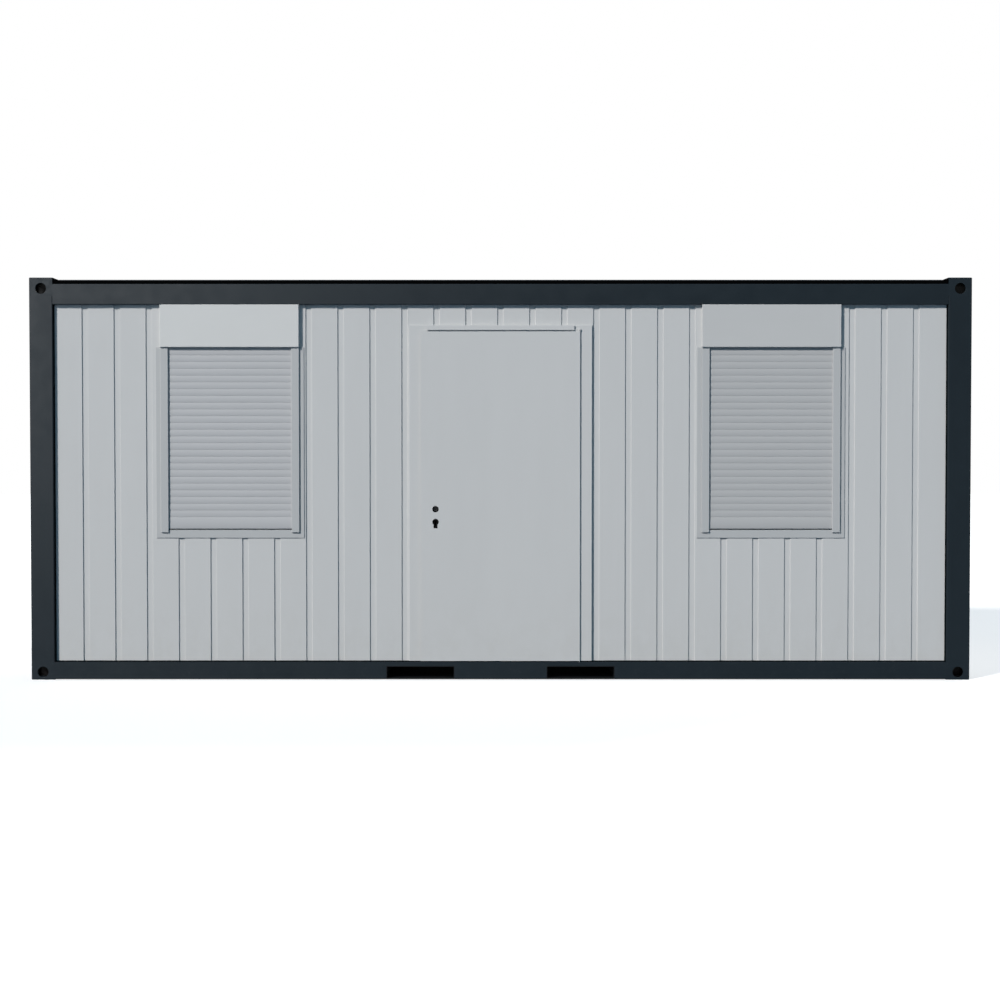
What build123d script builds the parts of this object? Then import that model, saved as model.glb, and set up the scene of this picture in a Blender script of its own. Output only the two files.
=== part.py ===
"""Portable site cabin: a 20 foot steel-framed cabin with one door and two shuttered windows.

Sizes are in millimetres. X runs along the long side, the front looks towards -Y and Z is up
from the ground. The middle of the footprint is the origin.
"""
import os

from build123d import *

# Whole cabin
LENGTH = 6058
WIDTH = 2438
HEIGHT = 2591
STEEL = 4

# Corner fittings, hollow blocks with lifting holes
FITTING = 150
FITTING_HEIGHT = 118
FITTING_WALL = 12
FACE_HOLE = 70
LOWER_HOLE_Z = 50
UPPER_HOLE_DROP = 70
SLOT_LENGTH = 124
SLOT_WIDTH = 63.5

# Corner posts, L-shaped hollow sections between the fittings
POST_LEG = 96

# Floor frame
RAIL_BOTTOM = 4
RAIL_TOP = 115
RAIL_DEPTH = 108
POCKET_INNER_X = 302
POCKET_OUTER_X = 733
POCKET_HEIGHT = 73
CROSS_MEMBER_WIDTH = 60
CROSS_MEMBERS_PER_END = 4
UNDERSIDE_Z = 16
SHEET = 2
BOARD = 18
FLOOR_TOP = 125

# Roof frame, its rails stepped so that a skirt hangs in front of the wall tops
ROOF_RAIL_DROP = 41
ROOF_RAIL_HEIGHT = 68
SKIRT_HEIGHT = 64
SKIRT_DEPTH = 26
ROOF_MEMBER_WIDTH = 40
ROOF_MEMBERS_PER_END = 4
ROOF_END_BAY = 709
SEAM_WIDTH = 12
SEAM_HEIGHT = 20
KERB_SETBACK = 6
KERB_WIDTH = 12
KERB_HEIGHT = 26
KERB_SLOPE = 39

# Profiled wall panels and the lining behind them
GROOVE_PITCH = 206
GROOVE_MOUTH = 40
GROOVE_FLOOR = 38
GROOVE_DEPTH = 6
LINING = 12

# Doorway, with the leaf's lip in front of its frame
FRAME_FACE = 16
DOOR_FRAME_HALF = 590
DOOR_FRAME_DROP = 131
DOOR_CLEARANCE = 6
STOP_STEP = 20
LIP_FACE = 6
LIP = 5
KNUCKLE = 9
LIP_HALF = 515
LIP_BOTTOM = 121
LIP_DROP = 41
LEAF_BACK = 64
LEAF_HALF = 484
LEAF_DROP = 31
SEAL_WIDTH = 8
SEAL_GAP = 0.5
PIN = 5
PIN_CLEARANCE = 0.5
PIN_GRIP = 15
PIN_END_GAP = 3
LUG_GAP = 5
LUG_HEIGHT = 12
DRIP_HALF = 475
DRIP_DROP = 2
DRIP_HEIGHT = 30

# Lock, let into the leaf's free edge
LOCK_BACKSET = 65
HANDLE_Z = 1102
KEYHOLE_DROP = 83
LOCK_HOLE = 42
KEYHOLE_TAIL = 26
KEYHOLE_TAIL_DROP = 41
LOCK_SET_BACK = 2
LOCK_CASE = 16
LOCK_CASE_WIDTH = 89
LOCK_CASE_ABOVE = 38
LOCK_CASE_BELOW = 142
FOREND = 3
FOREND_WIDTH = 20
FOREND_OVERLAP = 25
SPINDLE = 8
CYLINDER = 17
CYLINDER_TAIL = 10
CYLINDER_TAIL_DROP = 25.5

# Windows, each with its roller shutter in front
WINDOW_FROM_END = 1285
SURROUND_BORDER = 30
SURROUND_BOTTOM = 916
SURROUND_PLATE = 5
OPENING_RISE = 29
GUIDE_RISE = 37
SILL_RISE = 51
BOX_HALF = 447
BOX_HEIGHT = 273
BOX_WALL = 3
GUIDE_FACE = 11
GUIDE_WIDTH = 50
CURTAIN_FACE = 22
CURTAIN = 10
CURTAIN_GAP = 8
BOTTOM_BAR = 55
FIRST_SLAT = 21
SLAT_PITCH = 43.5
SLAT_LINE_DEPTH = 3
CURTAIN_IN_BOX = 16
PLASTIC_FACE = 60
PLASTIC_FRAME = 60
SASH = 60
SASH_FACE = 68
SASH_DEPTH = 46
GLASS = 24
GLASS_GRIP = 10

# Levels and depths that follow from the sizes above
PANEL_FACE = SKIRT_DEPTH
PANEL_BACK = POST_LEG
ROOM_FACE = PANEL_BACK + LINING
UPPER_FITTING_BOTTOM = HEIGHT - FITTING_HEIGHT
CEILING_BOTTOM = UPPER_FITTING_BOTTOM - LINING
BOARD_BOTTOM = FLOOR_TOP - BOARD
ROOF_RAIL_TOP = HEIGHT - ROOF_RAIL_DROP
ROOF_RAIL_BOTTOM = ROOF_RAIL_TOP - ROOF_RAIL_HEIGHT
SKIRT_BOTTOM = ROOF_RAIL_BOTTOM - SKIRT_HEIGHT
DOOR_FRAME_TOP = SKIRT_BOTTOM - DOOR_FRAME_DROP
LIP_TOP = DOOR_FRAME_TOP - LIP_DROP
LEAF_TOP = LIP_TOP - LEAF_DROP
DRIP_TOP = DOOR_FRAME_TOP - DRIP_DROP
DRIP_BOTTOM = DRIP_TOP - DRIP_HEIGHT
REBATE_HALF = LEAF_HALF + DOOR_CLEARANCE
REBATE_TOP = LEAF_TOP + DOOR_CLEARANCE
STOP_FACE = LEAF_BACK + DOOR_CLEARANCE
STOP_HALF = REBATE_HALF - STOP_STEP
STOP_TOP = REBATE_TOP - STOP_STEP
HINGE_X = LIP_HALF - KNUCKLE / 2
HINGE_DEPTH = LIP_FACE + KNUCKLE / 2
LOCK_X = LOCK_BACKSET - LEAF_HALF
KEYHOLE_Z = HANDLE_Z - KEYHOLE_DROP
WINDOW_X = LENGTH / 2 - WINDOW_FROM_END
OPENING_BOTTOM = SURROUND_BOTTOM + OPENING_RISE
GUIDE_BOTTOM = SURROUND_BOTTOM + GUIDE_RISE
SILL_TOP = SURROUND_BOTTOM + SILL_RISE
BOX_BOTTOM = SKIRT_BOTTOM - BOX_HEIGHT
SURROUND_HALF = BOX_HALF + SURROUND_BORDER
GUIDE_X = (BOX_HALF - GUIDE_WIDTH, BOX_HALF)

# Each side's turn from the front, in degrees
TURNS = {"front": 0, "right": 90, "back": 180, "left": 270}


def block(x, depth, z):
    """A box between two limits on each axis, with depth counted in from a side's face."""
    sizes = [limit[1] - limit[0] for limit in (x, depth, z)]
    middle = [(limit[0] + limit[1]) / 2 for limit in (x, depth, z)]
    return Pos(*middle) * Box(*sizes)


def section_along_x(points, x):
    """A section of (depth, z) points, run along X between two limits."""
    face = Plane.YZ * Polygon(*points, align=None)
    return Pos(x[0], 0, 0) * extrude(face, x[1] - x[0], dir=(1, 0, 0))


def outline_up(points, z):
    """An outline of (x, depth) points, run up between two levels."""
    face = Polygon(*points, align=None)
    return Pos(0, 0, z[0]) * extrude(face, z[1] - z[0], dir=(0, 0, 1))


def on_side(solid, side):
    """Put a solid that was made with its outer face on y = 0 onto a side of the cabin."""
    depth = WIDTH if side in ("front", "back") else LENGTH
    return Rot(0, 0, TURNS[side]) * Pos(0, -depth / 2, 0) * solid


def between_posts(side):
    """The limits along a side from one corner fitting to the other."""
    length = LENGTH if side in ("front", "back") else WIDTH
    return both_ways(length / 2 - FITTING)


def both_ways(half):
    """Limits that lie evenly about the middle."""
    return (-half, half)


def at_corners(solid):
    """Copies of a solid made for the front left corner, one at each corner."""
    front = [solid, mirror(solid, about=Plane.YZ)]
    return front + [mirror(piece, about=Plane.XZ) for piece in front]


def keyhole(head, tail, drop, depth):
    """A round hole with a narrower tail below it, through a depth."""
    radius = head / 2
    middle = (depth[0] + depth[1]) / 2
    round_part = Pos(LOCK_X, middle, KEYHOLE_Z) * Rot(90, 0, 0) * Cylinder(radius, depth[1] - depth[0])
    tail_x = (LOCK_X - tail / 2, LOCK_X + tail / 2)
    return round_part + block(tail_x, depth, (KEYHOLE_Z - drop, KEYHOLE_Z))


def corner_space(top):
    """The space that the front left fitting and post stand in, from the ground up to a level."""
    left = -LENGTH / 2
    front = -WIDTH / 2
    return block((left, left + FITTING), (front, front + FITTING), (0, top))


# Corner fittings and posts
def corner_fitting(z, hole_z, slot_z):
    """The front left fitting, hollow, with a round hole in each outer face and one slot."""
    left = -LENGTH / 2
    front = -WIDTH / 2
    limits = ((left, left + FITTING), (front, front + FITTING), z)
    inside = [(low + FITTING_WALL, high - FITTING_WALL) for low, high in limits]
    middle_x = left + FITTING / 2
    middle_y = front + FITTING / 2
    fitting = block(*limits) - block(*inside)
    bore = Cylinder(FACE_HOLE / 2, 2 * FITTING_WALL)
    fitting -= Pos(middle_x, front, hole_z) * Rot(90, 0, 0) * bore
    fitting -= Pos(left, middle_y, hole_z) * Rot(0, 90, 0) * bore
    slot = extrude(SlotOverall(SLOT_LENGTH, SLOT_WIDTH), FITTING_WALL, both=True)
    return fitting - Pos(middle_x, middle_y, slot_z) * slot


def corner_post():
    """The front left post, an L-shaped hollow section."""
    def outline(inset):
        far = FITTING - inset
        near = POST_LEG - inset
        return [(inset, inset), (far, inset), (far, near), (near, near), (near, far), (inset, far)]

    z = (FITTING_HEIGHT, UPPER_FITTING_BOTTOM)
    return Pos(-LENGTH / 2, -WIDTH / 2, 0) * (outline_up(outline(0), z) - outline_up(outline(STEEL), z))


# Floor
TUNNEL_X = (POCKET_INNER_X - STEEL, POCKET_OUTER_X + STEEL)
TUNNEL_Z = (RAIL_BOTTOM + STEEL, RAIL_BOTTOM + POCKET_HEIGHT + 3 * STEEL)


def floor_rail(side):
    """A rectangular tube along one side, cut through for the fork tunnels on the long sides."""
    x = between_posts(side)
    rail = block(x, (0, RAIL_DEPTH), (RAIL_BOTTOM, RAIL_TOP))
    rail -= block(x, (STEEL, RAIL_DEPTH - STEEL), (RAIL_BOTTOM + STEEL, RAIL_TOP - STEEL))
    if side in ("front", "back"):
        tunnel = block(TUNNEL_X, (0, RAIL_DEPTH), TUNNEL_Z)
        rail = rail - tunnel - mirror(tunnel, about=Plane.YZ)
    return on_side(rail, side)


def fork_tunnels():
    """Two flat tubes for a forklift's forks, through the whole width."""
    y = both_ways(WIDTH / 2)
    hollow_x = (POCKET_INNER_X, POCKET_OUTER_X)
    hollow_z = (TUNNEL_Z[0] + STEEL, TUNNEL_Z[1] - STEEL)
    tunnel = block(TUNNEL_X, y, TUNNEL_Z) - block(hollow_x, y, hollow_z)
    return [tunnel, mirror(tunnel, about=Plane.YZ)]


FLOOR_Y = both_ways(WIDTH / 2 - RAIL_DEPTH)
FLOOR_X = both_ways(LENGTH / 2 - RAIL_DEPTH)


def floor_cross_members():
    """Tubes across the floor, one in the middle and the rest outside the fork tunnels."""
    pitch = (FLOOR_X[1] - TUNNEL_X[1]) / (CROSS_MEMBERS_PER_END + 1)
    right = [TUNNEL_X[1] + pitch * number for number in range(1, CROSS_MEMBERS_PER_END + 1)]
    members = []
    for middle in [0] + right + [-x for x in right]:
        x = (middle - CROSS_MEMBER_WIDTH / 2, middle + CROSS_MEMBER_WIDTH / 2)
        z = (UNDERSIDE_Z + SHEET, BOARD_BOTTOM)
        member = block(x, FLOOR_Y, z)
        member -= block((x[0] + STEEL, x[1] - STEEL), FLOOR_Y, (z[0] + STEEL, z[1] - STEEL))
        members.append(member)
    return members


def underside_sheets():
    """Sheets under the cross members, in strips beside the tunnels and between the fittings."""
    z = (UNDERSIDE_Z, UNDERSIDE_Z + SHEET)
    fitting_edge = LENGTH / 2 - FITTING
    middle = block(both_ways(TUNNEL_X[0]), FLOOR_Y, z)
    wide = block((TUNNEL_X[1], fitting_edge), FLOOR_Y, z)
    narrow = block((fitting_edge, FLOOR_X[1]), between_posts("left"), z)
    return [middle, wide, narrow, mirror(wide, about=Plane.YZ), mirror(narrow, about=Plane.YZ)]


def floor_board():
    """The floor, notched underneath at the corner fittings."""
    board = block(FLOOR_X, FLOOR_Y, (BOARD_BOTTOM, FLOOR_TOP))
    return board - at_corners(corner_space(FITTING_HEIGHT))


# Roof
ROOF_MEMBER_PITCH = (LENGTH / 2 - ROOF_END_BAY) / ROOF_MEMBERS_PER_END
ROOF_MEMBER_NUMBERS = range(-ROOF_MEMBERS_PER_END, ROOF_MEMBERS_PER_END + 1)


def roof_rail(side):
    """A stepped hollow rail along one side."""
    def outline(inset):
        low = SKIRT_BOTTOM + inset
        step = ROOF_RAIL_BOTTOM + inset
        top = ROOF_RAIL_TOP - inset
        skirt = SKIRT_DEPTH - inset
        back = RAIL_DEPTH - inset
        return [(inset, low), (skirt, low), (skirt, step), (back, step), (back, top), (inset, top)]

    x = between_posts(side)
    return on_side(section_along_x(outline(0), x) - section_along_x(outline(STEEL), x), side)


def roof_cross_members():
    """Tubes across the roof from one long rail to the other."""
    members = []
    for number in ROOF_MEMBER_NUMBERS:
        middle = number * ROOF_MEMBER_PITCH
        x = (middle - ROOF_MEMBER_WIDTH / 2, middle + ROOF_MEMBER_WIDTH / 2)
        z = (UPPER_FITTING_BOTTOM, ROOF_RAIL_TOP)
        member = block(x, FLOOR_Y, z)
        member -= block((x[0] + STEEL, x[1] - STEEL), FLOOR_Y, (z[0] + STEEL, z[1] - STEEL))
        members.append(member)
    return members


def roof_sheet():
    """A flat sheet over the rails with raised seams across it, notched at the fittings."""
    inset = KERB_SETBACK + KERB_WIDTH
    half_x = LENGTH / 2 - inset
    half_y = WIDTH / 2 - inset
    sheet = block(both_ways(half_x), both_ways(half_y), (ROOF_RAIL_TOP, ROOF_RAIL_TOP + SHEET))
    sheet -= at_corners(corner_space(HEIGHT))
    for number in ROOF_MEMBER_NUMBERS:
        middle = number * ROOF_MEMBER_PITCH
        x = (middle - SEAM_WIDTH / 2, middle + SEAM_WIDTH / 2)
        sheet += block(x, both_ways(half_y), (ROOF_RAIL_TOP, ROOF_RAIL_TOP + SHEET + SEAM_HEIGHT))
    return sheet


def roof_kerb(side):
    """An upright strip on a rail's top, sloped up to the fitting at each end."""
    half = between_posts(side)[1]
    top = ROOF_RAIL_TOP + KERB_HEIGHT
    points = [
        (-half, ROOF_RAIL_TOP),
        (half, ROOF_RAIL_TOP),
        (half, HEIGHT),
        (half - KERB_SLOPE, top),
        (KERB_SLOPE - half, top),
        (-half, HEIGHT),
    ]
    face = Plane.XZ * Polygon(*points, align=None)
    strip = Pos(0, KERB_SETBACK, 0) * extrude(face, KERB_WIDTH, dir=(0, 1, 0))
    return on_side(strip, side)


def ceiling_panel():
    """A flat board over the room, resting on the linings."""
    x = both_ways(LENGTH / 2 - PANEL_BACK)
    y = both_ways(WIDTH / 2 - PANEL_BACK)
    return block(x, y, (CEILING_BOTTOM, UPPER_FITTING_BOTTOM))


# Walls
def profiled_panel(x, z):
    """A wall panel with a flat-bottomed groove at every pitch that falls inside it."""
    outline = [(x[0], PANEL_BACK), (x[0], PANEL_FACE)]
    mouth = GROOVE_MOUTH / 2
    bottom = GROOVE_FLOOR / 2
    count = int(LENGTH / 2 / GROOVE_PITCH)
    for number in range(-count, count + 1):
        middle = number * GROOVE_PITCH
        if x[0] < middle - mouth and middle + mouth < x[1]:
            outline.append((middle - mouth, PANEL_FACE))
            outline.append((middle - bottom, PANEL_FACE + GROOVE_DEPTH))
            outline.append((middle + bottom, PANEL_FACE + GROOVE_DEPTH))
            outline.append((middle + mouth, PANEL_FACE))
    outline += [(x[1], PANEL_FACE), (x[1], PANEL_BACK)]
    return outline_up(outline, z)


def window_cut(middle, depth):
    """The hole for one window and for the shutter box over it."""
    opening = (middle - BOX_HALF, middle + BOX_HALF)
    return block(opening, depth, (OPENING_BOTTOM, SKIRT_BOTTOM))


WALL_Z = (RAIL_TOP, ROOF_RAIL_BOTTOM)
LINING_Z = (FITTING_HEIGHT, CEILING_BOTTOM)
LINING_DEPTH = (PANEL_BACK, ROOM_FACE)


def front_wall(middle):
    """The panel between the doorway and one corner, with its window cut through."""
    half = between_posts("front")[1]
    x = (DOOR_FRAME_HALF, half) if middle > 0 else (-half, -DOOR_FRAME_HALF)
    return on_side(profiled_panel(x, WALL_Z) - window_cut(middle, (PANEL_FACE, PANEL_BACK)), "front")


def plain_wall(side):
    """A panel over the whole of a side."""
    return on_side(profiled_panel(between_posts(side), WALL_Z), side)


def front_linings():
    """Boards behind the front wall, beside the doorway and over it."""
    half = LENGTH / 2 - PANEL_BACK
    left = block((-half, -DOOR_FRAME_HALF), LINING_DEPTH, LINING_Z)
    right = block((DOOR_FRAME_HALF, half), LINING_DEPTH, LINING_Z)
    over = block(both_ways(DOOR_FRAME_HALF), LINING_DEPTH, (DOOR_FRAME_TOP, CEILING_BOTTOM))
    left -= window_cut(-WINDOW_X, LINING_DEPTH)
    right -= window_cut(WINDOW_X, LINING_DEPTH)
    return [on_side(board, "front") for board in (left, over, right)]


def back_lining():
    """One board behind the back wall."""
    return on_side(block(both_ways(LENGTH / 2 - PANEL_BACK), LINING_DEPTH, LINING_Z), "back")


def end_lining(side):
    """One board behind an end wall, between the front and back boards."""
    return on_side(block(both_ways(WIDTH / 2 - ROOM_FACE), LINING_DEPTH, LINING_Z), side)


# Door
LIP_X = (-LIP_HALF, HINGE_X)
LIP_Z = (LIP_BOTTOM, LIP_TOP)
LIP_DEPTH = (LIP_FACE, LIP_FACE + LIP)
LEAF_DEPTH = (LIP_FACE + LIP, LEAF_BACK)
LOCK_MIDDLE = (LIP_FACE + LEAF_BACK) / 2 + LOCK_SET_BACK
LOCK_DEPTH = (LOCK_MIDDLE - LOCK_CASE / 2, LOCK_MIDDLE + LOCK_CASE / 2)


def door_frame():
    """The frame around the leaf, with a step for the leaf to close against and a threshold."""
    frame = block(both_ways(DOOR_FRAME_HALF), (FRAME_FACE, ROOM_FACE), (RAIL_TOP, DOOR_FRAME_TOP))
    frame -= block(both_ways(REBATE_HALF), (FRAME_FACE, STOP_FACE), (FLOOR_TOP, REBATE_TOP))
    frame -= block(both_ways(STOP_HALF), (STOP_FACE, ROOM_FACE), (FLOOR_TOP, STOP_TOP))
    return on_side(frame, "front")


def door_seal():
    """A rubber strip on the step, along both sides and the top."""
    depth = (LEAF_BACK + SEAL_GAP, STOP_FACE)
    outer = block(both_ways(STOP_HALF + SEAL_WIDTH), depth, (FLOOR_TOP, STOP_TOP + SEAL_WIDTH))
    return on_side(outer - block(both_ways(STOP_HALF), depth, (FLOOR_TOP, STOP_TOP)), "front")


def door_drip_strip():
    """An angle strip that throws rain off over the leaf."""
    points = [
        (FRAME_FACE, DRIP_TOP),
        (LIP_FACE, DRIP_TOP),
        (LIP_FACE, DRIP_BOTTOM),
        (LIP_FACE + STEEL, DRIP_BOTTOM),
        (LIP_FACE + STEEL, DRIP_TOP - STEEL),
        (FRAME_FACE, DRIP_TOP - STEEL),
    ]
    return on_side(section_along_x(points, both_ways(DRIP_HALF)), "front")


def pin(z, radius):
    """A round pin on the door's turning axis, between two levels."""
    return Pos(HINGE_X, HINGE_DEPTH, (z[0] + z[1]) / 2) * Cylinder(radius, z[1] - z[0])


def door_pivots():
    """The two pins the leaf turns on, one on a lug above it and one on the floor rail."""
    lug_z = (LIP_TOP + LUG_GAP, LIP_TOP + LUG_GAP + LUG_HEIGHT)
    lug = block((HINGE_X - KNUCKLE / 2, LIP_HALF), (LIP_FACE, FRAME_FACE), lug_z)
    upper = lug + pin((LIP_TOP - PIN_GRIP, lug_z[0]), PIN / 2)
    lower = pin((RAIL_TOP, LIP_BOTTOM + PIN_GRIP), PIN / 2)
    return [on_side(piece, "front") for piece in (lower, upper)]


def door_leaf():
    """The leaf: a wide lip in front of the frame and a thick body that fits inside it."""
    leaf = block(LIP_X, LIP_DEPTH, LIP_Z) + pin(LIP_Z, KNUCKLE / 2)
    leaf += block(both_ways(LEAF_HALF), LEAF_DEPTH, (FLOOR_TOP + DOOR_CLEARANCE, LEAF_TOP))
    hole = PIN_GRIP + PIN_END_GAP
    leaf -= pin((LIP_BOTTOM, LIP_BOTTOM + hole), PIN / 2 + PIN_CLEARANCE)
    leaf -= pin((LIP_TOP - hole, LIP_TOP), PIN / 2 + PIN_CLEARANCE)
    through = (LIP_FACE, LEAF_BACK)
    middle = sum(through) / 2
    leaf -= Pos(LOCK_X, middle, HANDLE_Z) * Rot(90, 0, 0) * Cylinder(LOCK_HOLE / 2, LEAF_BACK)
    leaf -= keyhole(LOCK_HOLE, KEYHOLE_TAIL, KEYHOLE_TAIL_DROP, through)
    leaf -= lock_solid()
    return on_side(leaf, "front")


def lock_solid():
    """The lock case and its edge plate as one plain shape."""
    case_z = (HANDLE_Z - LOCK_CASE_BELOW, HANDLE_Z + LOCK_CASE_ABOVE)
    case = block((-LEAF_HALF, LOCK_CASE_WIDTH - LEAF_HALF), LOCK_DEPTH, case_z)
    depth = (LOCK_MIDDLE - FOREND_WIDTH / 2, LOCK_MIDDLE + FOREND_WIDTH / 2)
    z = (case_z[0] - FOREND_OVERLAP, case_z[1] + FOREND_OVERLAP)
    return case + block((-LEAF_HALF, FOREND - LEAF_HALF), depth, z)


def door_lock():
    """The lock, with its square spindle hole and the shaped hole for a cylinder."""
    half = SPINDLE / 2
    spindle = block((LOCK_X - half, LOCK_X + half), LOCK_DEPTH, (HANDLE_Z - half, HANDLE_Z + half))
    lock = lock_solid() - spindle
    lock -= keyhole(CYLINDER, CYLINDER_TAIL, CYLINDER_TAIL_DROP, LOCK_DEPTH)
    return on_side(lock, "front")


# Windows and shutters
CURTAIN_DEPTH = (CURTAIN_FACE, CURTAIN_FACE + CURTAIN)
CURTAIN_BOTTOM = SILL_TOP + CURTAIN_GAP
BOTTOM_BAR_TOP = CURTAIN_BOTTOM + BOTTOM_BAR
CURTAIN_TOP = BOX_BOTTOM + CURTAIN_IN_BOX
SLOT_HALF = GUIDE_X[0] + CURTAIN


def window_surround():
    """A flat plate on the wall face under the box, with a sill turned in under the curtain."""
    depth = (PANEL_FACE - SURROUND_PLATE, PANEL_FACE)
    plate = block(both_ways(SURROUND_HALF), depth, (SURROUND_BOTTOM, BOX_BOTTOM))
    plate -= block(both_ways(BOX_HALF), depth, (GUIDE_BOTTOM, BOX_BOTTOM))
    inner = both_ways(GUIDE_X[0])
    plate += block(inner, depth, (GUIDE_BOTTOM, SILL_TOP))
    return plate + block(inner, (PANEL_FACE, PLASTIC_FACE), (OPENING_BOTTOM, SILL_TOP))


def shutter_box():
    """A hollow box that holds the rolled shutter, with a slot underneath."""
    z = (BOX_BOTTOM, SKIRT_BOTTOM)
    inner_z = (z[0] + BOX_WALL, z[1] - BOX_WALL)
    box = block(both_ways(BOX_HALF), (0, ROOM_FACE), z)
    box -= block(both_ways(BOX_HALF - BOX_WALL), (BOX_WALL, ROOM_FACE - BOX_WALL), inner_z)
    return box - block(both_ways(SLOT_HALF), CURTAIN_DEPTH, (BOX_BOTTOM, BOX_BOTTOM + BOX_WALL))


def shutter_guides():
    """Two upright channels under the box, which the curtain's edges run in."""
    z = (GUIDE_BOTTOM, BOX_BOTTOM)
    guide = block(GUIDE_X, (GUIDE_FACE, PLASTIC_FACE), z)
    guide -= block((GUIDE_X[0], SLOT_HALF), CURTAIN_DEPTH, z)
    return [mirror(guide, about=Plane.YZ), guide]


def shutter_curtain():
    """The closed curtain, a bottom bar with slats hooked together above it."""
    face, back = CURTAIN_DEPTH
    points = [(back, CURTAIN_BOTTOM), (face, CURTAIN_BOTTOM), (face, BOTTOM_BAR_TOP)]
    points.append((face + SLAT_LINE_DEPTH, BOTTOM_BAR_TOP + SLAT_LINE_DEPTH))
    points.append((face, BOTTOM_BAR_TOP + 3 * SLAT_LINE_DEPTH))
    line = BOTTOM_BAR_TOP + FIRST_SLAT
    while line < CURTAIN_TOP - SLAT_PITCH / 4:
        points.append((face, line - SLAT_LINE_DEPTH))
        points.append((face + SLAT_LINE_DEPTH, line))
        points.append((face, line + 2 * SLAT_LINE_DEPTH))
        line += SLAT_PITCH
    points += [(face, CURTAIN_TOP), (back, CURTAIN_TOP)]
    return section_along_x(points, both_ways(SLOT_HALF))


def ring(half, z, border, depth):
    """A flat four-sided frame with equal borders."""
    inner = block(both_ways(half - border), depth, (z[0] + border, z[1] - border))
    return block(both_ways(half), depth, z) - inner


OPENING_Z = (OPENING_BOTTOM, BOX_BOTTOM)
SASH_HALF = BOX_HALF - PLASTIC_FRAME
SASH_Z = (OPENING_BOTTOM + PLASTIC_FRAME, BOX_BOTTOM - PLASTIC_FRAME)
GLASS_HALF = SASH_HALF - SASH + GLASS_GRIP
GLASS_Z = (SASH_Z[0] + SASH - GLASS_GRIP, SASH_Z[1] - SASH + GLASS_GRIP)
GLASS_FACE = SASH_FACE + (SASH_DEPTH - GLASS) / 2


def window_glass():
    """A sealed glass unit, held in the sash's groove."""
    return block(both_ways(GLASS_HALF), (GLASS_FACE, GLASS_FACE + GLASS), GLASS_Z)


def window_sash():
    """The sash around the glass."""
    sash = ring(SASH_HALF, SASH_Z, SASH, (SASH_FACE, SASH_FACE + SASH_DEPTH))
    return sash - window_glass()


def window_frame():
    """The plastic frame fixed in the wall opening."""
    return ring(BOX_HALF, OPENING_Z, PLASTIC_FRAME, (PLASTIC_FACE, ROOM_FACE))


def main():
    """Make every piece and write one file for each."""
    lower = corner_fitting((0, FITTING_HEIGHT), LOWER_HOLE_Z, 0)
    upper = corner_fitting((UPPER_FITTING_BOTTOM, HEIGHT), HEIGHT - UPPER_HOLE_DROP, HEIGHT)
    over_door = profiled_panel(both_ways(DOOR_FRAME_HALF), (DOOR_FRAME_TOP, ROOF_RAIL_BOTTOM))
    pieces = {
        "corner_fittings_lower": at_corners(lower),
        "corner_fittings_upper": at_corners(upper),
        "floor_rail_front": floor_rail("front"),
        "floor_rail_back": floor_rail("back"),
        "floor_rail_left": floor_rail("left"),
        "floor_rail_right": floor_rail("right"),
        "fork_tunnels": fork_tunnels(),
        "floor_cross_members": floor_cross_members(),
        "underside_sheets": underside_sheets(),
        "floor_board": floor_board(),
        "roof_rail_front": roof_rail("front"),
        "roof_rail_back": roof_rail("back"),
        "roof_rail_left": roof_rail("left"),
        "roof_rail_right": roof_rail("right"),
        "roof_cross_members": roof_cross_members(),
        "roof_sheet": roof_sheet(),
        "roof_kerb": [roof_kerb(side) for side in TURNS],
        "ceiling_panel": ceiling_panel(),
        "front_wall_left": front_wall(-WINDOW_X),
        "front_wall_right": front_wall(WINDOW_X),
        "front_wall_over_door": on_side(over_door, "front"),
        "back_wall": plain_wall("back"),
        "end_wall_left": plain_wall("left"),
        "end_wall_right": plain_wall("right"),
        "front_lining": front_linings(),
        "back_lining": back_lining(),
        "end_linings": [end_lining("left"), end_lining("right")],
        "door_frame": door_frame(),
        "door_seal": door_seal(),
        "door_drip_strip": door_drip_strip(),
        "door_pivots": door_pivots(),
        "door_leaf": door_leaf(),
        "door_lock": door_lock(),
    }
    corners = ("front_left", "front_right", "back_left", "back_right")
    for corner, post in zip(corners, at_corners(corner_post())):
        pieces["corner_post_" + corner] = post
    for name, middle in (("window_left", -WINDOW_X), ("window_right", WINDOW_X)):
        parts = {
            "surround": window_surround(),
            "shutter_box": shutter_box(),
            "shutter_guides": shutter_guides(),
            "shutter_curtain": shutter_curtain(),
            "frame": window_frame(),
            "sash": window_sash(),
            "glass": window_glass(),
        }
        for part, shape in parts.items():
            solids = shape if isinstance(shape, list) else [shape]
            placed = [on_side(Pos(middle, 0, 0) * solid, "front") for solid in solids]
            pieces[name + "_" + part] = placed

    os.makedirs("parts", exist_ok=True)
    for name, shape in pieces.items():
        solids = shape if isinstance(shape, list) else [shape]
        solid = solids[0] if len(solids) == 1 else Compound(children=solids)
        solid.label = name
        export_step(solid, "parts/" + name + ".step")


main()
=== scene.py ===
import math

import bmesh
import bpy
from mathutils import Matrix, Vector


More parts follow.
